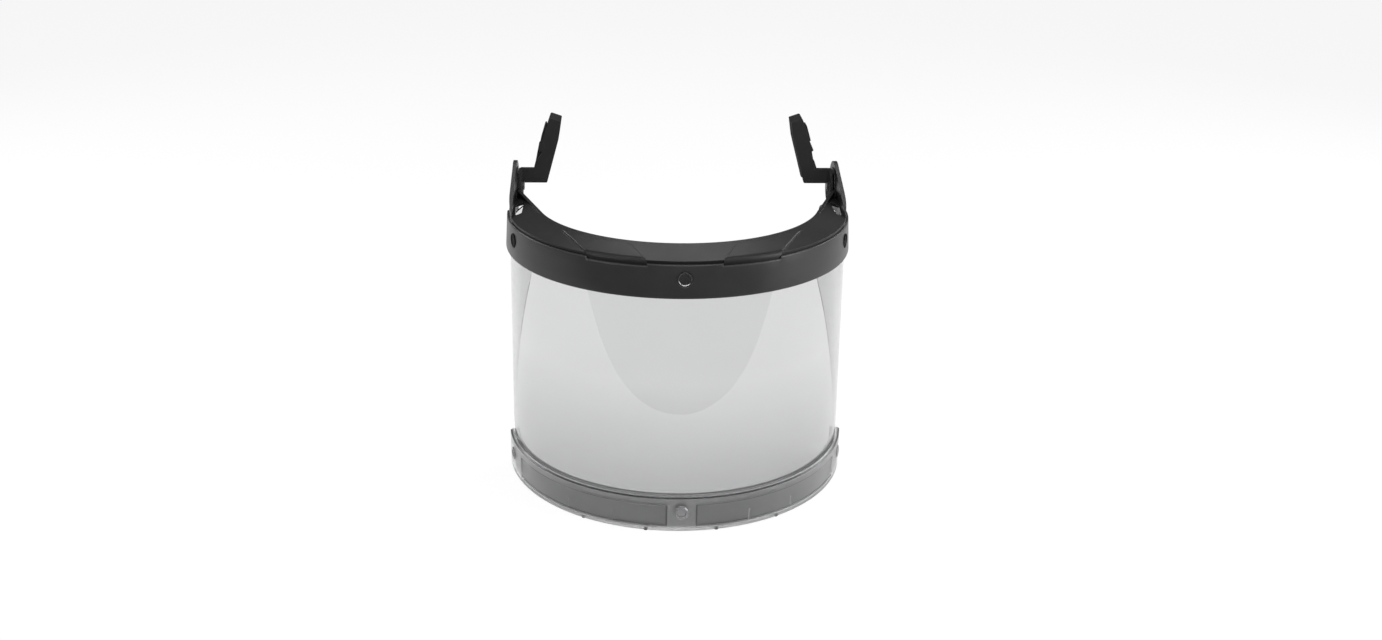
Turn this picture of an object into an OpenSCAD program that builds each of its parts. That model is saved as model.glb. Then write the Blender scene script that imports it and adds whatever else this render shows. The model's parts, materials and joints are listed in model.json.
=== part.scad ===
// Flip-up face shield for a slotted safety helmet.
// A brow carrier with a sloping shelf and two side arms holds a rolled clear lens behind a curved
// cover band, the arms hinge on two cranked adapters whose blades push up into the helmet's side
// slots, and a smoke chin guard clamps the lower edge of the lens.
// Frame: millimetres, +Z up, -Y is the front of the visor, +X is to the right seen from the front.
// The origin is the middle of the pivot axis, which runs along X between the two arms.

/* [Brow band] */
// Outer radius of the brow band in plan, at its lower edge
band_r = 134; // [126:1:142]
// Height of the shelf's front edge above the band's lower edge
band_h = 27; // [25:1:30]
// How far the shelf's front edge stands above the top of the band
band_step = 2.2; // [1.5:0.1:2.6]
// How much the band's outer face leans in from its lower edge to its top
band_draft = 1.5; // [0.8:0.1:1.6]
// Wall thickness of the arms and of the band's lower edge
band_wall = 3; // [2.5:0.25:3.5]
// Angle from the front to each end of the band
band_span = 94; // [90:0.5:95]

/* [Arms] */
// Where the top edge of each arm starts to rise, negative is in front of the band's centre
arm_rise_y = -32; // [-36:1:-28]
// Distance of the pivot axis behind the centre of the band's curve
pivot_back = 45; // [42:1:48]
// Height of the pivot axis above the band's lower edge
pivot_rise = 32; // [30:1:35]
// How far the arms stand in from the widest point of the band
arm_step = 3.7; // [3.5:0.1:4.5]
// Radius of the round end of each arm
arm_end_r = 20; // [18:0.5:22]
// Radius of the round boss inside each arm end
boss_r = 15; // [14.5:0.5:16]
// How far the boss stands in from the arm
boss_l = 0.6; // [0.5:0.1:0.8]

/* [Brow shelf] */
// Radius of the shelf's inner edge
shelf_in_r = 109.5; // [104.5:1:112.5]
// Height of the shelf's inner edge above its front edge
shelf_rise = 6.3; // [4:0.1:8]
// Thickness of the shelf
shelf_t = 2.4; // [2:0.1:3]
// Thickness of the rail that backs the lens
rail_t = 2.5; // [2:0.1:3]
// Height of the two raised pads on the shelf
pad_h = 1.2; // [0.8:0.1:1.6]
// Angle at which the inner edge of each pad meets the front of the band
pad_in_a = 11; // [8:1:14]
// Angle at which the outer edge of each pad meets the front of the band
pad_out_a = 30; // [26:1:36]

/* [Lens] */
// Thickness of the clear sheet
lens_t = 1.5; // [1:0.1:2]
// Height of clear lens between the brow band and the chin guard
lens_drop = 156; // [130:1:180]
// Angle from the front at which each rear edge stands
lens_wrap = 113.5; // [111:0.5:114]
// Height of the straight rear edge below the band
lens_side = 45; // [35:1:60]
// How much wider the lens spreads at its lower edge than in the band
lens_flare = 2; // [0:0.1:3]

/* [Chin guard] */
// Height of the chin guard
chin_h = 27.6; // [24:0.2:32]
// Angle from the front to each end of the chin guard
chin_span = 83.5; // [80:0.5:86]
// Wall thickness of the outer and inner guard
chin_wall = 2.8; // [2.2:0.1:3.2]
// Depth of the recessed windows in the outer guard
window_d = 0.9; // [0.5:0.1:1.2]
// Angle from each end of the chin guard to the outer end of its window
window_in = 17.5; // [15:0.5:24]
// Height of the feet under the chin guard
foot_h = 1; // [0.8:0.1:1.5]

/* [Studs] */
// Radius of the stud shanks
stud_r = 2.5; // [2:0.1:3]
// Radius of the stud heads
stud_head_r = 5.3; // [4.5:0.1:6]
// Height of the brow studs above the band's lower edge
brow_stud_z = 14.5; // [13:0.5:16]
// Angle from each end of the brow band to its side stud
brow_stud_in = 24; // [20:0.5:30]
// Angle from each end of the chin guard to its side stud
chin_stud_in = 8.5; // [7.5:0.5:11]

/* [Pivots] */
// Radius of the pivot pins
pin_r = 3; // [2.5:0.1:3.2]
// Radius of the adapter hubs
hub_r = 14; // [13.5:0.1:14.2]
// Thickness of the adapter hubs
hub_t = 2.2; // [2:0.1:2.6]
// How far the visor tilts up
tilt_range = 95; // [80:1:100]

/* [Helmet adapters] */
// Length of the cranked bar from the hub to the inner face of the blade
adapter_reach = 20; // [18:0.5:24]
// Height of the bar
bar_h = 11.7; // [10.5:0.1:12]
// Thickness of the bar from front to back
bar_t = 4; // [3:0.1:5]
// Height of the blade along its inner face
blade_h = 49.4; // [46:0.2:56]
// Width of the blade from front to back
blade_w = 22; // [20:0.5:26]
// Inward lean of the blade up to its bend
blade_lean = 15.5; // [13:0.5:17]
// Inward lean of the blade above its bend
tip_lean = 9; // [6:0.5:12]
// Thickness of the blade's tip
tip_t = 8.8; // [8.4:0.1:10]
// Thickness of the blade over the catch
catch_t = 14.2; // [13.6:0.1:15.5]

/* [Clearances] */
// Gap between the lens sheet and the walls that hold it
sheet_gap = 0.15; // [0.1:0.05:0.25]
// Radial clearance of pins and studs in their holes
run_gap = 0.05; // [0.03:0.01:0.08]

/* [Hidden] */
$fn = 96;

// Colours
black_c = [0.06, 0.06, 0.065];
soft_black_c = [0.10, 0.10, 0.105];
clear_c = [0.85, 0.90, 0.92, 0.35];
smoke_c = [0.32, 0.33, 0.34, 0.75];
steel_c = [0.62, 0.63, 0.65];
rubber_c = [0.04, 0.04, 0.04];

// Radii of the layers that hold the lens, from the outside in
band_in_r = band_r - band_wall;
band_top_r = band_r - band_draft;
lens_out_r = band_in_r - sheet_gap;
lens_in_r = lens_out_r - lens_t;
rail_out_r = lens_in_r - sheet_gap;
rail_in_r = rail_out_r - rail_t;
chin_in_r = lens_out_r + lens_flare + sheet_gap;
chin_out_r = chin_in_r + chin_wall;

// Heights in the visor's own frame, with the band's lower edge at zero
band_top_z = band_h - band_step;
shelf_low_z = band_h - shelf_t;
lens_top_z = shelf_low_z - 0.3;
chin_top_z = -lens_drop;
chin_low_z = chin_top_z - chin_h;
chin_floor_t = 2;
chin_floor_z = chin_low_z + chin_floor_t;
lens_low_z = chin_floor_z + 0.4;
chin_stud_z = chin_top_z - 0.45 * chin_h;
chin_rail_r = rail_out_r + flare(chin_top_z);
chin_back_r = chin_rail_r - chin_wall;
shelf_slope = shelf_rise / (band_in_r - shelf_in_r);
rail_low_z = 3;
rail_sink = 0.6;

// The pads hook over the lens into notches in the band's top
pad_drop = 1.5;
pad_gap = 0.15;
pad_low_z = band_top_z - pad_drop + pad_gap;
pad_lip_r = lens_out_r + 0.3;
pad_front_r = pad_lip_r + 0.6;

// The shelf's inner edge leaves its circle at this angle and runs straight back, with a rib on it
edge_leave_a = 71.5;
edge_rib_t = 2.4;
edge_rib_l = 65;

// Angles from the front, taken from the ends of the band and of the chin guard
brow_stud_a = band_span - brow_stud_in;
chin_stud_a = chin_span - chin_stud_in;
window_span = chin_span - window_in;
rear_foot_a = chin_span - 9.5;

// Studs and their push nuts
stud_seat_d = 1;
chin_seat_d = 0.8;
stud_past = 3;
stud_head_t = 1.3;
stud_dome = 0.5;
stud_round = 0.8;
dimple_r = 1.9;
dimple_d = 0.6;
flange_r = 5;
flange_t = 1.4;
collar_r = 3.8;
collar_l = 3.2;
nut_gap = 0.2;

// The flat arms stand on the ends of the shelf, just inside the band
arm_out_x = band_r - arm_step;
arm_in_x = arm_out_x - band_wall;
arm_low_z = band_h + 0.15;
arm_back_z = pivot_rise - boss_r;
arm_turn_y = [-2, 5];
arm_seam = 0.3;
cheek_r = arm_out_x + 0.2;
cheek_l = 30;

// The lens drops behind the band so that it passes under the arms
lens_clear = 1.5;
lens_rear_z = pivot_rise - boss_r - lens_clear;
lens_corner_r = 6;
lens_waist_r = 30;

// Stations along X through the right-hand pivot, from the arm inwards
boss_x = arm_in_x - boss_l;
friction_t = 0.7;
hub_out_x = boss_x - friction_t - 0.2;
hub_in_x = hub_out_x - hub_t;
pin_head_r = 6;
pin_head_t = 1.3;
pin_head_x = arm_out_x - pin_head_t;
head_gap = 0.3;
washer_gap = 0.3;
spring_out_r = 8.6;
spring_t = 0.5;
spring_cone = 0.27;
spring_lift = 0.03;
spring_pocket_d = spring_lift + spring_cone + spring_t + 0.1;
nut_r = 4.4;
nut_l = 1.6;
pin_end_x = hub_in_x - nut_l + 0.3;
friction_r = 9.4;

// Stop lug on the hub and the arc groove in the arm boss that it runs in
lug_in_r = 10.3;
lug_out_r = 12.9;
lug_a = 14;
lug_start = 200;
lug_gap = 0.3;
lug_play = 1.5;
groove_d = 1;
lug_l = friction_t + 0.2 + groove_d - lug_gap;

// Helmet adapter, seen from the front
base_z = 2.8;
base_x = hub_in_x - adapter_reach;
blade_front_y = -2.5;
rail_w = 4;
web_t = 4.5;
tip_z = base_z + blade_h;
bend_z = tip_z - 14.2;
bend_t = 12.3;
tip_slant = 3;
web_in = 0.2;
tip_block_h = 4.5;
catch_z = tip_z - 22.3;
neck_z = catch_z - 2.7;
neck_t = 10;
root_z = base_z + bar_h;

// Latch tongue, hung in the tip of the blade
knuckle_r = 1.5;
knuckle_z = tip_z - tip_block_h;
knuckle_x = blade_x(knuckle_z) + tip_t - 0.9;
tongue_gap = 0.4;
tongue_step = rail_x(knuckle_z) - knuckle_x + tongue_gap;
tongue_drop = 11;
tongue_spread = 4.9;
tongue_t = 2.2;
tongue_side_gap = 0.5;

// Spread of the lens at height z in the visor's own frame
function flare(z) = lens_flare * max(0, -z) / -lens_low_z;

// Inner face of the blade at height z, on the right-hand side
function blade_x(z) =
    base_x - (min(z, bend_z) - base_z) * tan(blade_lean) - max(0, z - bend_z) * tan(tip_lean);

// Outer edge of the blade's rails at height z above the bend, on the right-hand side
function rail_x(z) =
    let (low = [blade_x(bend_z) + bend_t, bend_z + 1], top = [blade_x(tip_z) + tip_t, tip_z + tip_slant])
    low[0] + (top[0] - low[0]) * (z - low[1]) / (top[1] - low[1]);

// Point at radius r and angle a from the front, in plan
function polar(r, a) = [r * sin(a), -r * cos(a)];

// Point where the line from p touches the circle of radius r about c, above (side 1) or below (-1)
function touch(p, c, r, side) =
    let (v = c - p, d = norm(v), a = atan2(v[1], v[0]) + side * asin(r / d))
    p + sqrt(d * d - r * r) * [cos(a), sin(a)];

// Arc that rounds the corner q between p and s with radius r, or the corner itself when r is zero
function corner(p, q, s, r, n = 5) =
    r == 0 ? [q] :
    let (u = (p - q) / norm(p - q),
         w = (s - q) / norm(s - q),
         half = acos(u * w) / 2,
         m = q + (u + w) / norm(u + w) * r / sin(half),
         first = q + u * r / tan(half) - m,
         last = q + w * r / tan(half) - m,
         a = atan2(first[1], first[0]),
         sweep = (atan2(last[1], last[0]) - a + 540) % 360 - 180)
    [for (i = [0 : n]) m + r * [cos(a + sweep * i / n), sin(a + sweep * i / n)]];

// Outline through points [x, y, r], with each corner rounded by its own radius r
function rounded(pts) =
    let (n = len(pts), xy = [for (p = pts) [p[0], p[1]]])
    [for (i = [0 : n - 1]) each corner(xy[(i + n - 1) % n], xy[i], xy[(i + 1) % n], pts[i][2])];

// Placing helpers

// Moves the visor's own frame, on the axis of the band, to the part's frame on the pivot axis
module visor_frame() {
    translate([0, -pivot_back, -pivot_rise]) children();
}

// Sweeps a section of radius and height round the front, to the angle a on both sides
module swept(a) {
    rotate([0, 0, -90 - a]) rotate_extrude(angle = 2 * a) children();
}

// Sweeps a section between the angles a and b from the front, and its mirror image
module swept_pair(a, b) {
    both_sides() rotate([0, 0, -90 + a]) rotate_extrude(angle = b - a) children();
}

// Extrudes a side outline, y along and z up, across the width w
module across(w) {
    rotate([90, 0, 90]) linear_extrude(w, center = true) children();
}

// Extrudes a front outline, x along and z up, from the depth y to y + t
module deep(y, t) {
    translate([0, y + t, 0]) rotate([90, 0, 0]) linear_extrude(t) children();
}

// Stands the z axis of its children out along +X, with their x axis on +Y
module along_x(x = 0) {
    translate([x, 0, 0]) rotate([90, 0, 90]) children();
}

// Stands the z axis of its children out of the visor at the angle a and the height z
module radial(a, z) {
    rotate([0, 0, a]) translate([0, 0, z]) rotate([90, 0, 0]) children();
}

module both_sides() {
    children();
    mirror([1, 0, 0]) children();
}

module left_side() {
    mirror([1, 0, 0]) children();
}

// Brow band

// Plan of one raised pad of the shelf, grown by g
module pad_plan(g = 0) {
    back = [sin(27), cos(27)];
    inner = polar(band_r, pad_in_a);
    outer = polar(band_r, pad_out_a);
    polygon([inner - 12 * back - [g, 0], inner + 26 * back - [g, 0],
             outer + 45 * back + [g, 0], outer - 12 * back + [g, 0]]);
}

// Outer radius of the band at height z
function band_out_r(z) = band_r - band_draft * z / band_top_z;

// Side outline of the band, whose ends pass under the arms
module band_outline() {
    end_y = -band_r * cos(band_span) + 0.5;
    under = arm_turn_y - 0.4 * [1, 1];
    polygon(rounded([[-band_r - 5, -1, 0], [-band_r - 5, arm_low_z, 0], [under[0], arm_low_z, 0],
                     [under[1], arm_back_z - arm_seam, 0], [end_y, arm_back_z - arm_seam, 3],
                     [end_y, 0, 3], [end_y - 8, -1, 0]]));
}

module outer_band() {
    color(black_c) visor_frame() difference() {
        intersection() {
            swept(band_span) polygon(rounded([[band_in_r, 0, 0.4], [band_r, 0, 0.9],
                                              [band_top_r, band_top_z, 0.7], [band_in_r, band_top_z, 0.2]]));
            across(2 * band_r + 20) band_outline();
        }
        // The pads of the carrier drop into the top edge
        both_sides() translate([0, 0, band_top_z - pad_drop]) linear_extrude(30) intersection() {
            pad_plan(0.3);
            difference() {
                circle(band_r + 1);
                circle(band_in_r - 1);
            }
        }
        // Stud holes with a flat seat for each head
        for (a = [-brow_stud_a, 0, brow_stud_a]) radial(a, brow_stud_z) {
            translate([0, 0, band_in_r - 2]) cylinder(r = stud_r + run_gap, h = band_wall + 4);
            translate([0, 0, brow_seat_r]) cylinder(r = stud_head_r + head_gap, h = 5);
        }
    }
}

// Brow carrier

function shelf_z(r) = band_h + (band_in_r - r) * shelf_slope;

// Section of the shelf
module shelf_section() {
    polygon([[shelf_in_r, shelf_z(shelf_in_r) - shelf_t], [lens_out_r, shelf_low_z],
             [lens_out_r, band_h], [shelf_in_r, shelf_z(shelf_in_r)]]);
}

// Section of the rail behind the lens
module rail_section() {
    polygon([[rail_in_r, rail_low_z], [rail_out_r, rail_low_z],
             [rail_out_r, shelf_z(rail_out_r) - shelf_t + rail_sink],
             [rail_in_r, shelf_z(rail_in_r) - shelf_t + rail_sink]]);
}

// Section of a raised pad, which hooks down over the edge of the lens
module pad_section() {
    r = shelf_in_r + 2.5;
    under_z = shelf_z(lens_out_r) - 1.6;
    polygon([[r, shelf_z(r) - 1], [lens_out_r - 1, under_z], [pad_lip_r, under_z], [pad_lip_r, pad_low_z],
             [pad_front_r, pad_low_z], [pad_front_r, shelf_z(pad_front_r) + pad_h],
             [r + 1, shelf_z(r + 1) + pad_h], [r, shelf_z(r)]]);
}

// Side outline of one arm
module arm_outline() {
    pivot = [pivot_back, pivot_rise];
    rise = [arm_rise_y, arm_low_z];
    polygon([rise, [arm_turn_y[0], arm_low_z], [arm_turn_y[1], arm_back_z], [pivot_back, arm_back_z], pivot,
             touch(rise, pivot, arm_end_r, 1)]);
    translate(pivot) circle(arm_end_r);
}

// Plan of one arm, which follows the curve of the band in front of the pivot
module arm_plan() {
    intersection() {
        circle(cheek_r);
        translate([arm_in_x, -band_r]) square([band_wall + 20, band_r]);
    }
    polygon([[arm_in_x, -1], [cheek_r, 0], [arm_out_x, cheek_l], [arm_out_x, 3 * cheek_l],
             [arm_in_x, 3 * cheek_l]]);
}

module brow_carrier() {
    cross = 0.1;
    rib_z = shelf_z(lens_out_r);
    color(soft_black_c) visor_frame() difference() {
        union() {
            difference() {
                union() {
                    swept(103) shelf_section();
                    // Rib that keeps the straight runs of the inner edge level
                    both_sides() rotate([0, 0, edge_leave_a]) translate([0, -shelf_in_r - edge_rib_t, rib_z])
                        cube([edge_rib_l, edge_rib_t + 1, shelf_z(shelf_in_r) - rib_z]);
                }
                // The inner edge leaves its circle, crossing it slightly, and runs straight back to the pivot
                both_sides() rotate([0, 0, edge_leave_a]) translate([0, cross - shelf_in_r, -1])
                    cube([150, 90, 80]);
                // Clear of the pivot boss
                translate([0, pivot_back, pivot_rise]) along_x()
                    cylinder(r = boss_r + 0.3, h = 3 * band_r, center = true);
                // Open corner between the shelf and each arm
                both_sides() translate([0, 0, band_h - 5]) linear_extrude(30)
                    polygon(rounded([[arm_in_x - 7.8, 3, 1.5], [arm_in_x - 0.8, 3, 1.5],
                                     [arm_in_x - 2.8, -26, 1.5], [arm_in_x - 7.4, -24, 1.5]]));
            }
            swept(88) rail_section();
            both_sides() intersection() {
                swept(70) pad_section();
                linear_extrude(60) pad_plan();
            }
            both_sides() {
                intersection() {
                    translate([arm_in_x + band_wall, 0, 0]) across(2 * band_wall) arm_outline();
                    linear_extrude(3 * band_h) arm_plan();
                }
                translate([0, pivot_back, pivot_rise]) along_x(boss_x) cylinder(r = boss_r, h = boss_l + 1);
            }
        }
        // Stud holes
        for (a = [-brow_stud_a, 0, brow_stud_a]) radial(a, brow_stud_z)
            translate([0, 0, rail_in_r - 2]) cylinder(r = stud_r + run_gap, h = rail_t + 4);
        // Pivot bores, seats for the pin heads, spring pockets and stop grooves
        both_sides() translate([0, pivot_back, pivot_rise]) {
            along_x(boss_x - 1) cylinder(r = pin_r + run_gap, h = 20);
            along_x(pin_head_x - run_gap) cylinder(r = pin_head_r + head_gap, h = 10);
            along_x(boss_x - 1) cylinder(r = spring_out_r + washer_gap, h = spring_pocket_d + 1);
            along_x(boss_x - 1) rotate([0, 0, lug_start - lug_play])
                rotate_extrude(angle = tilt_range + lug_a + 2 * lug_play)
                    translate([lug_in_r - lug_gap, 0])
                        square([lug_out_r - lug_in_r + 2 * lug_gap, groove_d + 1]);
        }
    }
}

// Lens

// Side outline of the lens: level under the shelf, falling behind the arms, tapered to the chin
module lens_outline() {
    rear_y = -lens_out_r * cos(lens_wrap);
    chin_y = -chin_in_r * cos(chin_span) - 1;
    difference() {
        polygon(rounded([[-band_r - 5, lens_low_z, 0], [chin_y, lens_low_z, 0], [chin_y, chin_top_z, 3],
                         [rear_y, -lens_side, lens_waist_r], [rear_y, lens_rear_z, lens_corner_r],
                         [4, lens_rear_z, lens_corner_r], [-12, lens_top_z, lens_corner_r],
                         [-band_r - 5, lens_top_z, 0]]));
        translate([pivot_back, pivot_rise]) circle(boss_r + lens_clear);
    }
}

module lens() {
    color(clear_c) visor_frame() difference() {
        intersection() {
            swept(lens_wrap + 11.5) polygon([[lens_in_r, lens_top_z + 1], [lens_in_r, 0],
                                [lens_in_r + lens_flare, lens_low_z], [lens_out_r + lens_flare, lens_low_z],
                                [lens_out_r, 0], [lens_out_r, lens_top_z + 1]]);
            across(2 * band_r + 20) lens_outline();
        }
        for (a = [-brow_stud_a, 0, brow_stud_a]) radial(a, brow_stud_z)
            translate([0, 0, lens_in_r - 3]) cylinder(r = stud_r + 3 * run_gap, h = lens_t + 8);
        for (a = [-chin_stud_a, 0, chin_stud_a]) radial(a, chin_stud_z)
            translate([0, 0, lens_in_r - 3]) cylinder(r = stud_r + 3 * run_gap, h = lens_t + 8);
    }
}

// Chin guard

// Side outline of the guard, with the lower rear corners cut off
module chin_outline() {
    end_y = -chin_out_r * cos(chin_span) + 1;
    polygon([[-band_r - 9, chin_low_z], [end_y - 7, chin_low_z], [end_y, chin_low_z + 7],
             [end_y, chin_top_z + 1], [-band_r - 9, chin_top_z + 1]]);
}

module chin_guard_outer() {
    low = chin_floor_z + 0.1;
    color(smoke_c) visor_frame() difference() {
        intersection() {
            union() {
                difference() {
                    swept(chin_span) polygon(rounded([[chin_in_r, low, 0], [chin_out_r, low, 0.6],
                        [chin_out_r, chin_top_z - 1.2, 0.8], [chin_in_r + 0.6, chin_top_z, 0.4],
                        [chin_in_r, chin_top_z, 0]]));
                    // Recessed windows either side of the centre pad
                    swept_pair(4.8, window_span) translate([chin_out_r - window_d, low + 2])
                        square([5, chin_top_z - low - 8.4]);
                }
                // Short ribs standing in the foot of the windows
                for (a = [22.6, 39.2]) swept_pair(a - 0.3, a + 0.3)
                    translate([chin_out_r - window_d - 0.5, low + 1.8]) square([window_d + 0.3, 8]);
            }
            across(2 * band_r + 20) chin_outline();
        }
        for (a = [-chin_stud_a, 0, chin_stud_a]) radial(a, chin_stud_z) {
            translate([0, 0, chin_in_r - 2]) cylinder(r = stud_r + run_gap, h = chin_wall + 4);
            translate([0, 0, chin_out_r - chin_seat_d]) cylinder(r = stud_head_r + head_gap, h = 5);
        }
    }
}

module chin_guard_inner() {
    color(smoke_c) visor_frame() difference() {
        intersection() {
            swept(chin_span) polygon([[chin_back_r, chin_low_z], [chin_out_r, chin_low_z],
                [chin_out_r, chin_floor_z], [chin_rail_r, chin_floor_z], [chin_rail_r, chin_top_z + 0.6],
                [chin_back_r + 0.6, chin_top_z + 0.6], [chin_back_r, chin_top_z]]);
            across(2 * band_r + 20) chin_outline();
        }
        for (a = [-chin_stud_a, 0, chin_stud_a]) radial(a, chin_stud_z)
            translate([0, 0, chin_back_r - 2]) cylinder(r = stud_r + run_gap, h = chin_wall + 4);
        feet_at() translate([0, 0, -0.5]) cylinder(r = 1 + run_gap, h = chin_floor_t + 1);
    }
}

// The places of the feet under the chin guard
module feet_at() {
    for (a = [11.4, 33.2, rear_foot_a])
        both_sides() translate(concat(polar(chin_out_r - 2.2, a), chin_low_z)) children();
}

module chin_feet() {
    color(rubber_c) visor_frame() feet_at() {
        translate([0, 0, -foot_h]) cylinder(r = 1.8, h = foot_h);
        cylinder(r = 1, h = chin_floor_t - 0.1);
    }
}

// Studs and their nuts

// Stud along its own z axis, with its head's seat at zero and its shank running down for l
module stud(l) {
    translate([0, 0, -l]) cylinder(r = stud_r, h = l + 0.1);
    top = stud_head_t + stud_dome;
    rotate_extrude() polygon(rounded([[0, 0, 0], [stud_head_r, 0, 0], [stud_head_r, stud_head_t, stud_round],
                                      [dimple_r, top, stud_round / 4], [dimple_r, top - dimple_d, 0],
                                      [0, top - dimple_d, 0]]));
}

// Push nut along its own z axis, bearing at zero and standing down
module stud_nut() {
    difference() {
        union() {
            translate([0, 0, -flange_t]) cylinder(r = flange_r, h = flange_t);
            translate([0, 0, -collar_l]) cylinder(r = collar_r, h = collar_l);
        }
        translate([0, 0, -collar_l - 1]) cylinder(r = stud_r + run_gap, h = collar_l + 2);
    }
}

brow_seat_r = band_out_r(brow_stud_z) - stud_seat_d;
chin_seat_r = chin_out_r - chin_seat_d;
brow_stud_l = brow_seat_r - rail_in_r + stud_past;
chin_stud_l = chin_seat_r - chin_back_r + stud_past;

module brow_centre_stud() {
    color(black_c) visor_frame() radial(0, brow_stud_z) translate([0, 0, brow_seat_r]) stud(brow_stud_l);
}

module brow_side_studs() {
    color(black_c) visor_frame() for (a = [-1, 1] * brow_stud_a)
        radial(a, brow_stud_z) translate([0, 0, brow_seat_r]) stud(brow_stud_l);
}

module brow_stud_nuts() {
    color(black_c) visor_frame() for (a = [-brow_stud_a, 0, brow_stud_a])
        radial(a, brow_stud_z) translate([0, 0, rail_in_r - nut_gap]) stud_nut();
}

module chin_centre_stud() {
    color(smoke_c) visor_frame() radial(0, chin_stud_z) translate([0, 0, chin_seat_r]) stud(chin_stud_l);
}

module chin_side_studs() {
    color(smoke_c) visor_frame() for (a = [-1, 1] * chin_stud_a)
        radial(a, chin_stud_z) translate([0, 0, chin_seat_r]) stud(chin_stud_l);
}

module chin_stud_nuts() {
    color(smoke_c) visor_frame() for (a = [-chin_stud_a, 0, chin_stud_a])
        radial(a, chin_stud_z) translate([0, 0, chin_back_r - nut_gap]) stud_nut();
}

// Helmet adapters, drawn on the right-hand side

// Front outline of the blade's rails, with the catch step on the outside
module rail_outline() {
    polygon(rounded([[base_x, base_z, 1], [base_x + 8, base_z, 0], [base_x + 10.5, root_z - 1, 0],
                     [blade_x(neck_z) + neck_t + 4.5, neck_z - 6, 3], [blade_x(neck_z) + neck_t, neck_z, 1],
                     [blade_x(catch_z) + catch_t, catch_z, 0.4],
                     [blade_x(bend_z) + bend_t, bend_z + 1, 16],
                     [blade_x(tip_z) + tip_t, tip_z + tip_slant, 1.2], [blade_x(tip_z), tip_z, 0.8],
                     [blade_x(bend_z), bend_z, 12]]));
}

// Front outline of the web along the inner face
module web_outline() {
    polygon([[base_x + 0.8, base_z], [base_x + web_t + 2, base_z], [blade_x(root_z) + web_t, root_z],
             [blade_x(bend_z) + web_t, bend_z], [blade_x(tip_z - 1) + web_t, tip_z - 1],
             [blade_x(tip_z - 1) + web_in, tip_z - 1], [blade_x(bend_z) + web_in, bend_z],
             [blade_x(base_z + 3) + web_in, base_z + 3]]);
}

module adapter() {
    rear_y = blade_front_y + blade_w - rail_w;
    difference() {
        union() {
            along_x(hub_in_x) cylinder(r = hub_r, h = hub_t);
            along_x(hub_out_x - 0.2) rotate([0, 0, lug_start]) rotate_extrude(angle = lug_a)
                translate([lug_in_r, 0]) square([lug_out_r - lug_in_r, lug_l + 0.2]);
            translate([base_x + 3, blade_front_y, base_z]) cube([adapter_reach - 2, bar_t, bar_h]);
            deep(blade_front_y, rail_w) rail_outline();
            deep(rear_y, rail_w) rail_outline();
            deep(blade_front_y + 0.5, blade_w - 1) web_outline();
            // Solid tip between the rails
            deep(blade_front_y + 0.5, blade_w - 1) intersection() {
                rail_outline();
                translate([0, knuckle_z]) square([2 * base_x, 60]);
            }
            // Thin strip behind the neck, from the catch down to the back of the bar
            deep(rear_y + rail_w - 2.4, 2.4) polygon([
                [blade_x(catch_z) + catch_t, catch_z + 1], [blade_x(catch_z) + catch_t - 2, catch_z + 2],
                [base_x + 9, root_z - 4], [base_x + 11, root_z - 4]]);
            deep(blade_front_y + 1, blade_w - 2) polygon([[base_x + 2, base_z], [base_x + 10.8, base_z + 3],
                [base_x + 10.8, root_z - 2], [base_x + 2, root_z - 2]]);
        }
        // Pin hole, room for the nut, and the round groove that the tongue hangs in
        along_x(hub_in_x - 1) cylinder(r = pin_r + run_gap, h = hub_t + 3);
        along_x(hub_in_x - nut_l - 0.4) cylinder(r = nut_r + 0.3, h = nut_l + 0.4);
        translate([knuckle_x, blade_front_y + rail_w, knuckle_z]) rotate([-90, 0, 0])
            cylinder(r = knuckle_r + run_gap, h = blade_w - 2 * rail_w);
    }
}

// Spring tongue between the rails, hung by its round root, which steps out past the tip and runs down
module latch_tongue() {
    w = blade_w - 2 * rail_w - 2 * tongue_side_gap;
    y = blade_front_y + rail_w + tongue_side_gap;
    translate([knuckle_x, y, knuckle_z]) {
        rotate([-90, 0, 0]) cylinder(r = knuckle_r, h = w);
        deep(0, w) polygon([[0, -tongue_gap], [tongue_step, -tongue_gap], [tongue_step, 1],
            [tongue_step + 1.2, 1], [tongue_step + tongue_spread, -tongue_drop],
            [tongue_step + tongue_spread - tongue_t, -tongue_drop - 1],
            [tongue_step + tongue_spread - tongue_t - 0.4, -tongue_drop],
            [tongue_step - 0.3, -tongue_t - tongue_gap], [0, -tongue_t]]);
    }
}

module right_adapter() {
    color(black_c) adapter();
}

module left_adapter() {
    color(black_c) left_side() adapter();
}

module right_latch_tongue() {
    color(black_c) latch_tongue();
}

module left_latch_tongue() {
    color(black_c) left_side() latch_tongue();
}

// Pivot hardware, drawn on the right-hand side

// Pin with a low round head in the outside of the arm
module pivot_pin() {
    along_x(pin_end_x) cylinder(r = pin_r, h = pin_head_x - pin_end_x + 0.1);
    along_x(pin_head_x) cylinder(r1 = pin_head_r, r2 = pin_head_r - 0.6, h = pin_head_t);
}

// Black push nut on the inner end of the pin
module pivot_nut() {
    along_x(hub_in_x - nut_l) difference() {
        cylinder(r1 = nut_r - 0.8, r2 = nut_r, h = nut_l);
        translate([0, 0, -1]) cylinder(r = pin_r + run_gap, h = nut_l + 2);
    }
}

// Coned spring washer in the pocket of the arm boss
module spring_washer() {
    in_r = pin_r + washer_gap;
    along_x(boss_x + spring_lift) rotate_extrude()
        polygon([[in_r, spring_cone], [spring_out_r, 0], [spring_out_r, spring_t],
                 [in_r, spring_cone + spring_t]]);
}

// Flat washer between the arm boss and the hub
module friction_washer() {
    along_x(hub_out_x + 0.1) difference() {
        cylinder(r = friction_r, h = friction_t);
        translate([0, 0, -1]) cylinder(r = pin_r + washer_gap, h = friction_t + 2);
    }
}

module right_pivot_pin() {
    color(steel_c) pivot_pin();
}

module left_pivot_pin() {
    color(steel_c) left_side() pivot_pin();
}

module right_pivot_nut() {
    color(rubber_c) pivot_nut();
}

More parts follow.
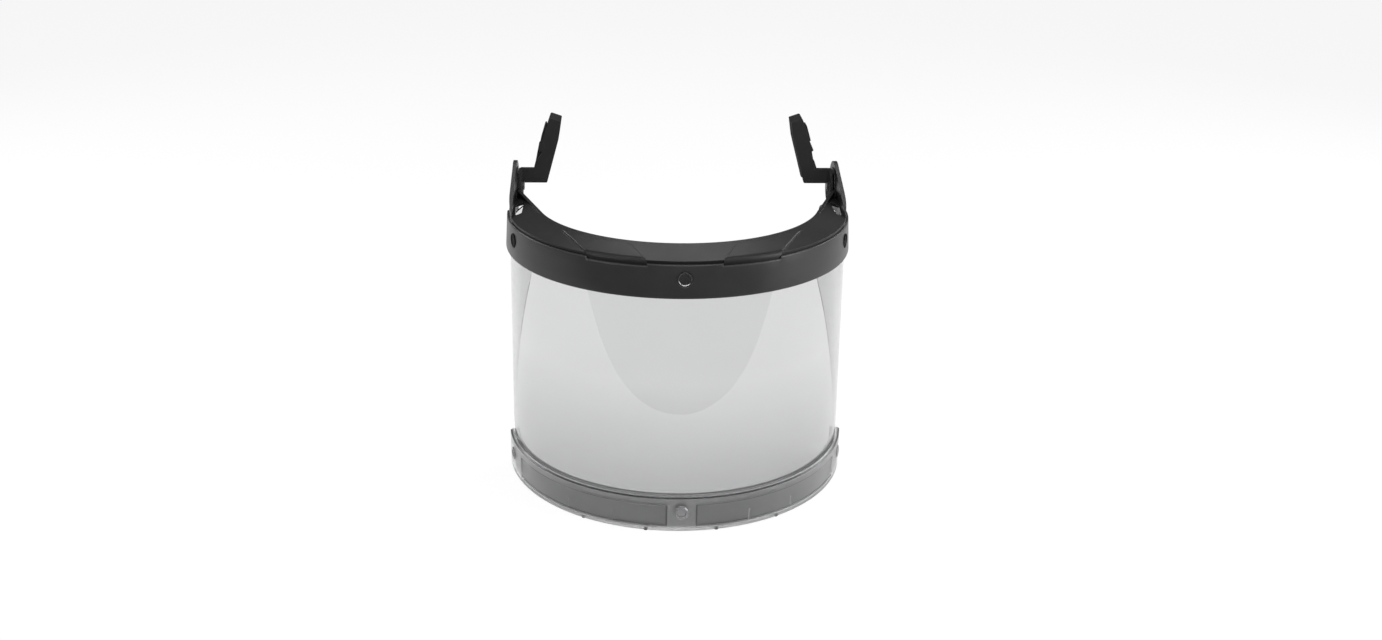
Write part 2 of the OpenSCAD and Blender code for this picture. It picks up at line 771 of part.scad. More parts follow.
module left_pivot_nut() {
    color(rubber_c) left_side() pivot_nut();
}

module right_spring_washer() {
    color(steel_c) spring_washer();
}

module left_spring_washer() {
    color(steel_c) left_side() spring_washer();
}

module right_friction_washer() {
    color(rubber_c) friction_washer();
}

module left_friction_washer() {
    color(rubber_c) left_side() friction_washer();
}

outer_band();
brow_carrier();
lens();
chin_guard_outer();
chin_guard_inner();
chin_feet();
brow_centre_stud();
brow_side_studs();
brow_stud_nuts();
chin_centre_stud();
chin_side_studs();
chin_stud_nuts();
left_adapter();
right_adapter();
left_latch_tongue();
right_latch_tongue();
left_pivot_pin();
right_pivot_pin();
left_pivot_nut();
right_pivot_nut();
left_spring_washer();
right_spring_washer();
left_friction_washer();
right_friction_washer();
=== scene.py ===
import json
import math

import bpy
from mathutils import Matrix, Vector

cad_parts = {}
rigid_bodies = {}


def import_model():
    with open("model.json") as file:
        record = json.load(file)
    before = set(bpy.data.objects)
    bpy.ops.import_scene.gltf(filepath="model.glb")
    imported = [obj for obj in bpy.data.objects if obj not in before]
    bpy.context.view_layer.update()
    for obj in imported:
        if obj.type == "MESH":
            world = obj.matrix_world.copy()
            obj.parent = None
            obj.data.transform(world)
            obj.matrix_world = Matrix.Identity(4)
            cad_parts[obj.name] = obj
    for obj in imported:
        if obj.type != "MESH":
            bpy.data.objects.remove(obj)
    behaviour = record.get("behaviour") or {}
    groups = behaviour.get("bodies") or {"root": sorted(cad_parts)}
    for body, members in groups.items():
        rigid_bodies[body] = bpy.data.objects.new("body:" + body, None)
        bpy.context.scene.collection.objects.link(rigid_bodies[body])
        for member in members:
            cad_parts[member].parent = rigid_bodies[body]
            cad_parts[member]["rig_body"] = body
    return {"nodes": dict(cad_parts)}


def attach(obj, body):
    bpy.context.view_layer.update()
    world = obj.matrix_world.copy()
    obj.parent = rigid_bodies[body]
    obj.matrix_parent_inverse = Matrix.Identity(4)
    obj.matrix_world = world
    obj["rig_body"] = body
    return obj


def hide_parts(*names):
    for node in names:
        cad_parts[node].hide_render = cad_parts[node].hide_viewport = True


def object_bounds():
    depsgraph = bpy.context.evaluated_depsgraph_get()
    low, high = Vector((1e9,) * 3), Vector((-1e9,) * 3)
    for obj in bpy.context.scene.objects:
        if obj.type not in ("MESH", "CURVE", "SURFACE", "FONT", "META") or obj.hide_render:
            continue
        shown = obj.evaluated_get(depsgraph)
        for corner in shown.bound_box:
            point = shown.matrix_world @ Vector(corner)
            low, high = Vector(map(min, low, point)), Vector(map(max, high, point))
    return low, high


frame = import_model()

cad_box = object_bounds()
nodes = frame["nodes"]
bpy.ops.object.select_all(action="DESELECT")

# Camera: in front of the shield, a little to its left and about 22 degrees above it, with a very small
# roll, as the shield was photographed.
camera = bpy.data.cameras.new("camera")
camera.sensor_width = 36
camera.lens = 35.9
camera.shift_x = 0.0109
camera.shift_y = 0.0188
camera_eye = bpy.data.objects.new("camera", camera)
bpy.context.scene.collection.objects.link(camera_eye)
look_at = Vector((0, -0.045, -0.122))
eye_distance = 1.12
turn, height, roll = math.radians(-2.5), math.radians(22.3), math.radians(0.8)
back = Vector((math.sin(turn) * math.cos(height), -math.cos(turn) * math.cos(height), math.sin(height)))
level_right = (-back).cross(Vector((0, 0, 1))).normalized()
level_up = level_right.cross(-back)
right = level_right * math.cos(roll) + level_up * math.sin(roll)
up = level_up * math.cos(roll) - level_right * math.sin(roll)
stand = Matrix((right, up, back)).transposed().to_4x4()
stand.translation = look_at + back * eye_distance
camera_eye.matrix_world = stand
bpy.context.scene.camera = camera_eye
bpy.context.scene.view_settings.view_transform = "Standard"


# Table: a white sheet that ends in a straight front edge 391 mm in front of the pivots, which the lens
# mirrors as a round line. The room in front of the edge is darker.
def grey(tone, blue=1):
    return (tone, tone, tone * blue, 1)


def number(tree, operation, first, second=0.0, third=0.0):
    made = tree.nodes.new("ShaderNodeMath")
    made.operation = operation
    for socket, value in zip(made.inputs, (first, second, third)):
        if isinstance(value, (int, float)):
            socket.default_value = value
        else:
            tree.links.new(value, socket)
    return made.outputs[0]


def either_shader(tree, share, first, second):
    made = tree.nodes.new("ShaderNodeMixShader")
    for socket, source in zip(made.inputs, (share, first, second)):
        tree.links.new(source, socket)
    return made.outputs[0]


floor_z = cad_box[0].z
table_front_y, table_wide, table_deep = -0.391, 7, 6
white_seen, white_mirrored = 0.9, 0.7
bpy.ops.mesh.primitive_plane_add(size=1, location=(0, table_front_y + table_deep / 2, floor_z))
table = bpy.context.object
table.name = "table"
table.scale = (table_wide, table_deep, 1)
bpy.ops.object.transform_apply(location=True, rotation=True, scale=True)
sheet = bpy.data.materials.new("white_table")
sheet.use_nodes = True
tree = sheet.node_tree
tree.nodes.clear()
path = tree.nodes.new("ShaderNodeLightPath")
mirrored = number(tree, "MULTIPLY", path.outputs["Is Glossy Ray"], white_mirrored)
bright = number(tree, "MULTIPLY_ADD", path.outputs["Is Camera Ray"], white_seen, mirrored)
lit = tree.nodes.new("ShaderNodeBsdfDiffuse")
lit.inputs["Color"].default_value = grey(0.9)
white = tree.nodes.new("ShaderNodeEmission")
surface = either_shader(tree, bright, lit.outputs[0], white.outputs[0])
end = tree.nodes.new("ShaderNodeOutputMaterial")
tree.links.new(surface, end.inputs["Surface"])
table.data.materials.append(sheet)


# Room: grey walls that grow paler towards the ceiling, darker below the table, and white behind whatever
# is seen directly or through the lens.
def ranged(tree, value, start=0, stop=1, to_start=0, to_stop=1):
    made = tree.nodes.new("ShaderNodeMapRange")
    bounds = {"From Min": start, "From Max": stop, "To Min": to_start, "To Max": to_stop}
    for name, bound in bounds.items():
        made.inputs[name].default_value = bound
    tree.links.new(value, made.inputs["Value"])
    return made.outputs[0]


room = bpy.data.worlds.new("studio")
bpy.context.scene.world = room
room.use_nodes = True
tree = room.node_tree
tree.nodes.clear()
where = tree.nodes.new("ShaderNodeTexCoord")
split = tree.nodes.new("ShaderNodeSeparateXYZ")
tree.links.new(where.outputs["Generated"], split.inputs[0])
walls = tree.nodes.new("ShaderNodeValToRGB")
low_wall, high_wall = walls.color_ramp.elements
low_wall.position, low_wall.color = 0.40, grey(0.09)
high_wall.position, high_wall.color = 0.70, grey(0.17)
tree.links.new(ranged(tree, split.outputs["Z"], start=-1), walls.inputs[0])
ambient = tree.nodes.new("ShaderNodeBackground")
tree.links.new(walls.outputs[0], ambient.inputs["Color"])
plain = tree.nodes.new("ShaderNodeBackground")
plain.inputs["Color"].default_value = grey(1)
path = tree.nodes.new("ShaderNodeLightPath")
direct = number(tree, "MAXIMUM", path.outputs["Is Camera Ray"], path.outputs["Is Transmission Ray"])
unlit = number(tree, "LESS_THAN", path.outputs["Diffuse Depth"], 0.5)
shown = number(tree, "MULTIPLY", direct, unlit)
surface = either_shader(tree, shown, ambient.outputs[0], plain.outputs[0])
end = tree.nodes.new("ShaderNodeOutputWorld")
tree.links.new(surface, end.inputs["Surface"])


# Lamps: a soft box above and behind, which lies along the brow shelf as a sheen, a long strip overhead for
# the rims, a weak one in front, a tall one to the right for that end of the band, a small one at the left
# front for the edges of the notches, and one behind on each side for the outer edges of the pads.
def soft_box(name, place, aim, wide, deep, watts):
    lamp = bpy.data.lights.new(name, "AREA")
    lamp.shape = "RECTANGLE"
    lamp.size, lamp.size_y, lamp.energy = wide, deep, watts
    holder = bpy.data.objects.new(name, lamp)
    bpy.context.scene.collection.objects.link(holder)
    holder.location = place
    holder.rotation_euler = (Vector(aim) - Vector(place)).to_track_quat("-Z", "Y").to_euler()


soft_box("back_box", (0.05, 0.75, 1.25), (0, -0.1, -0.05), wide=0.85, deep=0.5, watts=6)
soft_box("top_strip", (-0.3, -0.63, 1.15), (-0.33, -0.15, -0.1), wide=3.0, deep=0.11, watts=13)
soft_box("front_box", (0.15, -1.5, 0.75), (0, -0.1, -0.1), wide=0.8, deep=0.6, watts=10)
soft_box("right_box", (1.35, -0.55, 0.35), (0, -0.1, -0.1), wide=0.7, deep=1.0, watts=16)
soft_box("left_box", (-1.1, -0.95, 0.52), (0, -0.1, 0), wide=0.3, deep=0.35, watts=3.6)
soft_box("left_edge", (-1.25, 0.85, 0.72), (0, -0.1, 0), wide=0.5, deep=0.5, watts=9)
soft_box("right_edge", (1.25, 0.85, 0.72), (0, -0.1, 0), wide=0.5, deep=0.5, watts=9)

# Brow carrier: one black moulding with the sloping shelf, its two raised pads, the rail behind the lens
# and both arms. The pads have rounded edges, the skin has a fine grain, and all edges are painted a little
# paler, partly as rubbed wear and partly as a painted highlight.
merge_gap = 0.00001
flat_angle, sharp_angle, smooth_angle = math.radians(0.1), math.radians(30), math.radians(35)


def clean_copy(node, name):
    piece = bpy.data.objects.new(name, nodes[node].data.copy())
    bpy.context.scene.collection.objects.link(piece)
    bpy.ops.object.select_all(action="DESELECT")
    piece.select_set(True)
    bpy.context.view_layer.objects.active = piece
    bpy.ops.object.mode_set(mode="EDIT")
    bpy.ops.mesh.select_all(action="SELECT")
    bpy.ops.mesh.remove_doubles(threshold=merge_gap)
    bpy.ops.mesh.dissolve_limited(angle_limit=flat_angle)
    bpy.ops.object.mode_set(mode="OBJECT")
    bpy.ops.mesh.customdata_custom_splitnormals_clear()
    piece.data.materials.clear()
    return piece


def round_edges(piece, picked, width, rounds):
    bpy.context.tool_settings.mesh_select_mode = (False, True, False)
    bpy.ops.object.mode_set(mode="EDIT")
    bpy.ops.mesh.select_all(action="DESELECT")
    bpy.ops.mesh.edges_select_sharp(sharpness=sharp_angle)
    bpy.ops.object.mode_set(mode="OBJECT")
    corners = piece.data.vertices
    for kind in (corners, piece.data.polygons):
        for each in kind:
            each.select = False
    for edge in piece.data.edges:
        edge.select = edge.select and all(picked(corners[end].co) for end in edge.vertices)
        if edge.select:
            for end in edge.vertices:
                corners[end].select = True
    bpy.ops.object.mode_set(mode="EDIT")
    bpy.ops.mesh.bevel(offset=width, segments=rounds, affect="EDGES", clamp_overlap=False)
    bpy.ops.mesh.select_all(action="SELECT")
    bpy.ops.mesh.dissolve_degenerate(threshold=merge_gap)
    bpy.ops.object.mode_set(mode="OBJECT")
    bpy.ops.object.shade_smooth_by_angle(angle=smooth_angle)


def ease(piece, width, smooth=smooth_angle):
    eased = piece.modifiers.new("eased", "BEVEL")
    eased.limit_method = "ANGLE"
    eased.angle_limit = sharp_angle
    eased.width, eased.segments, eased.use_clamp_overlap = width, 2, False
    bpy.ops.object.modifier_apply(modifier="eased")
    bpy.ops.object.shade_smooth_by_angle(angle=smooth)


def fit(piece, material, body, node):
    piece.data.materials.append(material)
    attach(piece, body)
    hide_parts(node)


grain = bpy.data.node_groups.new("moulded_grain", "ShaderNodeTree")
grain.interface.new_socket("Fineness", in_out="INPUT", socket_type="NodeSocketFloat")
grain.interface.new_socket("Height", in_out="OUTPUT", socket_type="NodeSocketFloat")
grain.interface.new_socket("Cloud", in_out="OUTPUT", socket_type="NodeSocketFloat")
inlet = grain.nodes.new("NodeGroupInput")
outlet = grain.nodes.new("NodeGroupOutput")
at = grain.nodes.new("ShaderNodeTexCoord")
pebble = grain.nodes.new("ShaderNodeTexNoise")
pebble.inputs["Detail"].default_value = 2
grain.links.new(at.outputs["Object"], pebble.inputs["Vector"])
grain.links.new(inlet.outputs["Fineness"], pebble.inputs["Scale"])
cloud = grain.nodes.new("ShaderNodeTexNoise")
cloud.inputs["Scale"].default_value = 38
cloud.inputs["Detail"].default_value = 4
grain.links.new(at.outputs["Object"], cloud.inputs["Vector"])
grain.links.new(pebble.outputs["Fac"], outlet.inputs["Height"])
grain.links.new(cloud.outputs["Fac"], outlet.inputs["Cloud"])

# Edge mask for the paler edge colour, which is wear and also a painted highlight; its bevel normal rounds the
# edges in the shading.
edge_wear_and_highlight = bpy.data.node_groups.new("rubbed_and_highlighted_edge", "ShaderNodeTree")
edge_wear_and_highlight.interface.new_socket("Width", in_out="INPUT", socket_type="NodeSocketFloat")
edge_wear_and_highlight.interface.new_socket("Edge", in_out="OUTPUT", socket_type="NodeSocketFloat")
edge_wear_and_highlight.interface.new_socket("Normal", in_out="OUTPUT", socket_type="NodeSocketVector")
inlet = edge_wear_and_highlight.nodes.new("NodeGroupInput")
outlet = edge_wear_and_highlight.nodes.new("NodeGroupOutput")
eased = edge_wear_and_highlight.nodes.new("ShaderNodeBevel")
eased.samples = 6
edge_wear_and_highlight.links.new(inlet.outputs["Width"], eased.inputs["Radius"])
face = edge_wear_and_highlight.nodes.new("ShaderNodeNewGeometry")
match = edge_wear_and_highlight.nodes.new("ShaderNodeVectorMath")
match.operation = "DOT_PRODUCT"
edge_wear_and_highlight.links.new(eased.outputs["Normal"], match.inputs[0])
edge_wear_and_highlight.links.new(face.outputs["Normal"], match.inputs[1])
worn_and_lit = ranged(edge_wear_and_highlight, match.outputs["Value"], start=0.995, stop=0.85)
edge_wear_and_highlight.links.new(worn_and_lit, outlet.inputs["Edge"])
edge_wear_and_highlight.links.new(eased.outputs["Normal"], outlet.inputs["Normal"])


def new_material(name):
    made = bpy.data.materials.new(name)
    made.use_nodes = True
    return made, made.node_tree, made.node_tree.nodes["Principled BSDF"]


def placed(tree, group, **settings):
    made = tree.nodes.new("ShaderNodeGroup")
    made.node_tree = group
    for name, value in settings.items():
        made.inputs[name].default_value = value
    return made


def blended(tree, share, first, second):
    made = tree.nodes.new("ShaderNodeMix")
    made.data_type = "RGBA"
    tree.links.new(share, made.inputs["Factor"])
    for name, colour in (("A", first), ("B", second)):
        if isinstance(colour, tuple):
            made.inputs[name].default_value = colour
        else:
            tree.links.new(colour, made.inputs[name])
    return made.outputs["Result"]


def grain_relief(tree, body, skin, strength):
    relief = tree.nodes.new("ShaderNodeBump")
    relief.inputs["Strength"].default_value = strength
    relief.inputs["Distance"].default_value = 0.0001
    tree.links.new(skin.outputs["Height"], relief.inputs["Height"])
    tree.links.new(relief.outputs[0], body.inputs["Normal"])
    return relief


skin_blue, rough_spread = 1.03, 0.05


# The paler edge colour stands for rubbed wear and is also a painted highlight along the edges.
def moulded_plastic(name, dark, pale, rough, fineness, bump, edge_pale_and_lit, shine=0.5, edge_width=0.0006):
    made, tree, body = new_material(name)
    body.inputs["Specular IOR Level"].default_value = shine
    skin = placed(tree, grain, Fineness=fineness)
    edge = placed(tree, edge_wear_and_highlight, Width=edge_width)
    shade = blended(tree, skin.outputs["Cloud"], grey(dark, skin_blue), grey(pale, skin_blue))
    worn_and_lit = blended(tree, edge.outputs["Edge"], shade, grey(edge_pale_and_lit, skin_blue))
    tree.links.new(worn_and_lit, body.inputs["Base Color"])
    polish = ranged(tree, skin.outputs["Cloud"], to_start=rough - rough_spread, to_stop=rough + rough_spread)
    tree.links.new(polish, body.inputs["Roughness"])
    relief = grain_relief(tree, body, skin, bump)
    tree.links.new(edge.outputs["Normal"], relief.inputs["Normal"])
    return made


curve_y, band_low_z = -0.045, -0.032
shelf_front_z, shelf_front_r, shelf_slope = 0.027, 0.131, 6.3 / 21.5
pad_rise, pad_front_r, pad_slack = 0.0012, 0.13175, 0.0001


def plan_radius(place):
    return math.hypot(place.x, place.y - curve_y)


def on_pad(place):
    top = shelf_front_z + (shelf_front_r - plan_radius(place)) * shelf_slope + pad_rise
    return abs(place.z - band_low_z - top) < pad_slack


def on_pad_front(place):
    return on_pad(place) and abs(plan_radius(place) - pad_front_r) < pad_slack


carrier_black = moulded_plastic("carrier_black", dark=0.006, pale=0.010, rough=0.40, fineness=3200, bump=0.3,
                                edge_pale_and_lit=0.03, shine=0.25, edge_width=0.0005)
carrier = clean_copy("brow_carrier", "carrier_moulding")
round_edges(carrier, on_pad_front, width=0.0032, rounds=7)
round_edges(carrier, on_pad, width=0.0008, rounds=4)
fit(carrier, carrier_black, "visor", "brow_carrier")

# Lens: one clear sheet, rolled, trimmed and held between the band and the carrier's rail. It is slightly
# grey, with painted shade that deepens the grey towards its foot, and polished faces that carry a few
# hair-fine scuffs.
scuff = bpy.data.node_groups.new("fine_scuffs", "ShaderNodeTree")
scuff.interface.new_socket("Scale", in_out="INPUT", socket_type="NodeSocketFloat")
scuff.interface.new_socket("Scuff", in_out="OUTPUT", socket_type="NodeSocketFloat")
scuff.interface.new_socket("Haze", in_out="OUTPUT", socket_type="NodeSocketFloat")
inlet = scuff.nodes.new("NodeGroupInput")
outlet = scuff.nodes.new("NodeGroupOutput")
at = scuff.nodes.new("ShaderNodeTexCoord")
lean = scuff.nodes.new("ShaderNodeMapping")
lean.inputs["Rotation"].default_value = (0.5, 0.3, 0.2)
lean.inputs["Scale"].default_value = (1, 1, 26)
scuff.links.new(at.outputs["Object"], lean.inputs["Vector"])
hair = scuff.nodes.new("ShaderNodeTexNoise")
hair.inputs["Detail"].default_value = 3
scuff.links.new(lean.outputs[0], hair.inputs["Vector"])
scuff.links.new(inlet.outputs["Scale"], hair.inputs["Scale"])
thin = ranged(scuff, hair.outputs["Fac"], start=0.62, stop=0.72)
veil = scuff.nodes.new("ShaderNodeTexNoise")
veil.inputs["Scale"].default_value = 11
veil.inputs["Detail"].default_value = 3
scuff.links.new(at.outputs["Object"], veil.inputs["Vector"])
scuff.links.new(thin, outlet.inputs["Scuff"])
scuff.links.new(veil.outputs["Fac"], outlet.inputs["Haze"])


def lamp_clear(tree, body, film_grey):
    path = tree.nodes.new("ShaderNodeLightPath")
    film = tree.nodes.new("ShaderNodeBsdfTransparent")
    film.inputs["Color"].default_value = grey(film_grey)
    surface = either_shader(tree, path.outputs["Is Shadow Ray"], body.outputs[0], film.outputs[0])
    tree.links.new(surface, tree.nodes["Material Output"].inputs["Surface"])


def object_place(tree):
    at = tree.nodes.new("ShaderNodeTexCoord")
    split = tree.nodes.new("ShaderNodeSeparateXYZ")
    tree.links.new(at.outputs["Object"], split.inputs[0])
    return split.outputs


def dress(node, material):
    nodes[node].data.materials.clear()
    nodes[node].data.materials.append(material)


clear_tint, hazy_tint, foot_shade_tint = (0.615, 0.618, 0.62, 1), (0.655, 0.658, 0.66, 1), (0.435, 0.437, 0.44, 1)
foot_top_z, foot_low_z = -0.098, -0.188
clear, tree, body = new_material("clear_sheet")
body.inputs["Transmission Weight"].default_value = 1
body.inputs["IOR"].default_value = 1.58
marks = placed(tree, scuff, Scale=46)
tint = blended(tree, marks.outputs["Haze"], clear_tint, hazy_tint)
# Painted shade: the tint darkens towards the foot, in place of the shade inside the shield seen through the
# lens.
foot_shade = ranged(tree, object_place(tree)["Z"], start=foot_top_z, stop=foot_low_z)
tree.links.new(blended(tree, foot_shade, tint, foot_shade_tint), body.inputs["Base Color"])
polish = ranged(tree, marks.outputs["Scuff"], to_start=0.012, to_stop=0.05)
tree.links.new(polish, body.inputs["Roughness"])
lamp_clear(tree, body, film_grey=0.5)
dress("lens", clear)

# Outer brow band: a satin black moulding swept round the front of the lens, leaning in towards its top. The
# carrier's pads drop into two notches with rounded edges in its upper edge.
# Its edges are painted paler over a wide strip: rubbed wear, and a painted highlight along the top edge.
satin_black = moulded_plastic("satin_black", dark=0.020, pale=0.028, rough=0.36, fineness=2600, bump=0.3,
                              edge_pale_and_lit=0.07, shine=0.3, edge_width=0.0012)
notch_z, notch_edge_r, notch_slack = 0.0233, 0.132, 0.0002


def on_notch(place):
    return abs(place.z - band_low_z - notch_z) < notch_slack and plan_radius(place) > notch_edge_r


band = clean_copy("outer_band", "band_moulding")
round_edges(band, on_notch, width=0.0012, rounds=5)
fit(band, satin_black, "visor", "outer_band")

# Brow studs: three black press studs through the band, the lens and the rail, each with a dished head whose
# polished rim catches the light, held behind by nylon push nuts. The two at the sides are matt, and their
# deeper black is painted shade that keeps them dark.
head_r, head_t, head_sides, shank_r = 0.0053, 0.0016, 64, 0.0025


def press_stud(name, seat_r, stud_z, shank_l, steps):
    body_t = head_t - max(0, steps[0][1])
    bpy.ops.object.select_all(action="DESELECT")
    bpy.ops.mesh.primitive_cylinder_add(vertices=head_sides, radius=head_r, depth=body_t,
                                        end_fill_type="NGON", rotation=(math.pi / 2, 0, 0),
                                        location=(0, curve_y - seat_r - body_t / 2, stud_z))
    stud = bpy.context.object
    stud.name = name
    bpy.ops.object.transform_apply(location=True, rotation=True, scale=True)
    bpy.context.tool_settings.mesh_select_mode = (False, False, True)
    for facing in (-1, 1):
        for face in stud.data.polygons:
            face.select = face.normal.y * facing > 0.9
        bpy.ops.object.mode_set(mode="EDIT")
        if facing < 0:
            for thickness, rise in steps:
                bpy.ops.mesh.inset(thickness=thickness, depth=rise)
        else:
            bpy.ops.mesh.inset(thickness=head_r - shank_r)
            bpy.ops.mesh.extrude_region_move(TRANSFORM_OT_translate={"value": (0, shank_l, 0)})
        bpy.ops.object.mode_set(mode="OBJECT")
        for kind in (stud.data.vertices, stud.data.edges, stud.data.polygons):
            for each in kind:
                each.select = False
    ease(stud, width=0.00008, smooth=math.radians(8))
    return stud


def turned_pair(stud, name, angle):
    pair = []
    for way in (-angle, angle):
        copy = stud.copy()
        copy.data = stud.data.copy()
        bpy.context.scene.collection.objects.link(copy)
        copy.data.transform(Matrix.Translation((0, curve_y, 0)) @ Matrix.Rotation(way, 4, "Z")
                            @ Matrix.Translation((0, -curve_y, 0)))
        pair.append(copy)
    bpy.ops.object.select_all(action="DESELECT")
    for copy in pair:
        copy.select_set(True)
    bpy.context.view_layer.objects.active = pair[0]
    bpy.ops.object.join()
    pair[0].name = name
    return pair[0]


dish = ((0.0005, 0), (0.0006, -0.0006))
brow_stud_z, brow_side_angle = 0.0145 + band_low_z, math.radians(70)
stud_black = moulded_plastic("stud_black", dark=0.018, pale=0.024, rough=0.16, fineness=2600, bump=0.05,
                             edge_pale_and_lit=0.03, shine=0.9, edge_width=0.0001)
matt_black_with_painted_shade = moulded_plastic("matt_black_with_painted_shade", dark=0.004, pale=0.006, rough=0.6, fineness=2600, bump=0.2,
                             edge_pale_and_lit=0.006, shine=0.1, edge_width=0.0001)
brow_stud = press_stud("brow_stud_centre", seat_r=0.13212, stud_z=brow_stud_z, shank_l=0.0084, steps=dish)
brow_pair = turned_pair(brow_stud, "brow_stud_pair", brow_side_angle)
fit(brow_stud, stud_black, "visor", "brow_centre_stud")
fit(brow_pair, matt_black_with_painted_shade, "visor", "brow_side_studs")
nylon = moulded_plastic("black_nylon", dark=0.008, pale=0.012, rough=0.55, fineness=1800, bump=0.2,
                        edge_pale_and_lit=0.02)
nuts = clean_copy("brow_stud_nuts", "brow_push_nuts")
ease(nuts, width=0.0002)
fit(nuts, nylon, "visor", "brow_stud_nuts")

# Chin guard: two smoke-tinted mouldings that clamp the foot of the lens. The outer one has two recessed
# windows, edged with a thin painted dark line of shade, and a painted dark line of shade along its lip. The
# inner one has a painted light line there, a painted highlight, and closes the foot with a floor.
guard_r, smoke_blue = 0.1358, 1.005
window_near, window_far = math.radians(4.8), math.radians(66)
window_mid, window_half = (window_near + window_far) / 2 * guard_r, (window_far - window_near) / 2 * guard_r
window_low_z, window_top_z = -0.1795, -0.1624
window_mid_z = (window_low_z + window_top_z) / 2 + band_low_z
window_half_z = (window_top_z - window_low_z) / 2
window_fade, line_fade, lip_fade, line_half = 0.0002, 0.0008, 0.0006, 0.0003


def apart(tree, value, middle):
    return number(tree, "ABSOLUTE", number(tree, "SUBTRACT", value, middle))


def smoke_plastic(name, pale, deep, painted_outline_tone, painted_lip_tone, lip_z, film_grey):
    made, tree, body = new_material(name)
    body.inputs["Transmission Weight"].default_value = 1
    body.inputs["IOR"].default_value = 1.5
    body.inputs["Specular IOR Level"].default_value = 0.15
    place = object_place(tree)
    ahead = number(tree, "SUBTRACT", curve_y, place["Y"])
    around = number(tree, "ABSOLUTE", number(tree, "ARCTAN2", place["X"], ahead))
    along = number(tree, "MULTIPLY", around, guard_r)
    past_end = number(tree, "SUBTRACT", apart(tree, along, window_mid), window_half)
    past_top = number(tree, "SUBTRACT", apart(tree, place["Z"], window_mid_z), window_half_z)
    outside = number(tree, "MAXIMUM", past_end, past_top)
    window = ranged(tree, outside, start=window_fade, stop=-window_fade)
    # Painted shade: a thin dark outline round the windows, where their walls would be seen edge-on.
    painted_outline = ranged(tree, number(tree, "ABSOLUTE", outside), start=line_fade, stop=line_half)
    # A painted line along the lip: dark shade on the outer guard, a light highlight on the inner.
    painted_lip_line = ranged(tree, apart(tree, place["Z"], lip_z + band_low_z), start=lip_fade, stop=line_half)
    tint = blended(tree, window, grey(pale, smoke_blue), grey(deep, smoke_blue))
    edged = blended(tree, painted_outline, tint, grey(painted_outline_tone, smoke_blue))
    lipped = blended(tree, painted_lip_line, edged, grey(painted_lip_tone, smoke_blue))
    tree.links.new(lipped, body.inputs["Base Color"])
    polish = ranged(tree, placed(tree, scuff).outputs["Haze"], to_start=0.30, to_stop=0.40)
    tree.links.new(polish, body.inputs["Roughness"])
    grain_relief(tree, body, placed(tree, grain, Fineness=1400), strength=0.06)
    lamp_clear(tree, body, film_grey)
    return made


smoke = smoke_plastic("smoke_guard", pale=0.86, deep=0.66, painted_outline_tone=0.20, painted_lip_tone=0.01, lip_z=-0.1568, film_grey=0.55)
deep_smoke = smoke_plastic("smoke_guard_inner", pale=0.42, deep=0.42, painted_outline_tone=0.42, painted_lip_tone=0.75, lip_z=-0.1562,
                           film_grey=0.45)
dress("chin_guard_inner", deep_smoke)
dress("chin_guard_outer", smoke)

# Chin studs: three press studs in grey translucent plastic, whose heads are chamfered round the outside and
# hollow in the middle, with push nuts of their own colour inside the guard.
collar = ((0.0008, 0.0008), (0.0012, 0), (0.0004, -0.0007))
chin_stud_z, chin_side_angle = -0.16842 + band_low_z, math.radians(75)
# The pale edge colour on these studs is a painted highlight round their chamfers as well as wear.
smoke_stud = moulded_plastic("smoke_stud", dark=0.22, pale=0.28, rough=0.13, fineness=1800, bump=0.1,
                             edge_pale_and_lit=0.3, shine=0.9, edge_width=0.0001)
smoke_stud.node_tree.nodes["Principled BSDF"].inputs["Transmission Weight"].default_value = 0.5
chin_stud = press_stud("chin_stud_centre", seat_r=0.135, stud_z=chin_stud_z, shank_l=0.0099, steps=collar)
chin_pair = turned_pair(chin_stud, "chin_stud_pair", chin_side_angle)
fit(chin_stud, smoke_stud, "visor", "chin_centre_stud")
fit(chin_pair, smoke_stud, "visor", "chin_side_studs")
nuts = clean_copy("chin_stud_nuts", "chin_push_nuts")
ease(nuts, width=0.0002)
fit(nuts, smoke_stud, "visor", "chin_stud_nuts")

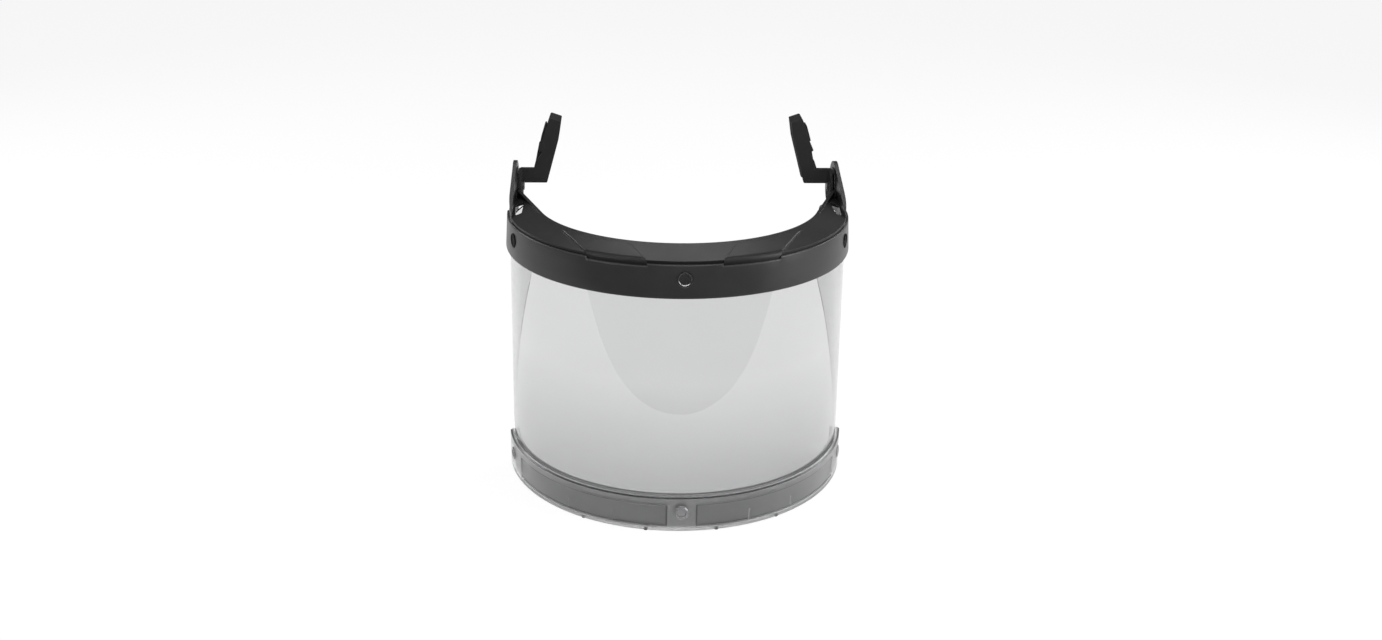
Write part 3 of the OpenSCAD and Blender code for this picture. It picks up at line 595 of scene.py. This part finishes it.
# Feet: six small plugs of black rubber, pushed into the floor of the chin guard from below. The shield
# stands on them when it is put down.
rubber = moulded_plastic("black_rubber", dark=0.008, pale=0.012, rough=0.75, fineness=1500, bump=0.3,
                         edge_pale_and_lit=0.012)
feet = clean_copy("chin_feet", "guard_feet")
ease(feet, width=0.00025)
fit(feet, rubber, "visor", "chin_feet")

# Helmet adapters: cranked bars with an upright blade, in matt glass-filled plastic, one for each side of
# the helmet. Each hub carries the pivot, and each blade a sprung tongue.
adapter_black = moulded_plastic("adapter_black", dark=0.019, pale=0.025, rough=0.65, fineness=2200, bump=0.4,
                                edge_pale_and_lit=0.03, shine=0.02)
for side in ("left", "right"):
    dress(side + "_adapter", adapter_black)
    tongue = clean_copy(side + "_latch_tongue", side + "_tongue_moulding")
    ease(tongue, width=0.0002)
    fit(tongue, adapter_black, side + "_latch", side + "_latch_tongue")

# Pivots: turned steel pins with a low head in each arm, coned spring washers, nylon friction washers and
# black push nuts. The steel is plated, with fine turning marks round the axis.
dull_steel, bright_steel = (0.50, 0.51, 0.53, 1), (0.62, 0.63, 0.65, 1)
plated, tree, body = new_material("plated_steel")
body.inputs["Metallic"].default_value = 1
at = tree.nodes.new("ShaderNodeTexCoord")
lathe = tree.nodes.new("ShaderNodeTexWave")
lathe.wave_type, lathe.rings_direction = "RINGS", "X"
lathe.inputs["Scale"].default_value = 700
lathe.inputs["Distortion"].default_value = 1.5
tree.links.new(at.outputs["Object"], lathe.inputs["Vector"])
tone = blended(tree, lathe.outputs["Fac"], dull_steel, bright_steel)
tree.links.new(tone, body.inputs["Base Color"])
polish = ranged(tree, lathe.outputs["Fac"], to_start=0.24, to_stop=0.36)
tree.links.new(polish, body.inputs["Roughness"])
for side in ("left", "right"):
    for part, finish, slot in (("pivot_pin", plated, "bright_steel"),
                               ("spring_washer", plated, "spring_steel"),
                               ("friction_washer", nylon, "black_nylon"),
                               ("pivot_nut", nylon, "black_nylon")):
        node = side + "_" + part
        piece = clean_copy(node, node + "_piece")
        ease(piece, width=0.0001)
        fit(piece, finish, nodes[node]["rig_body"], node)
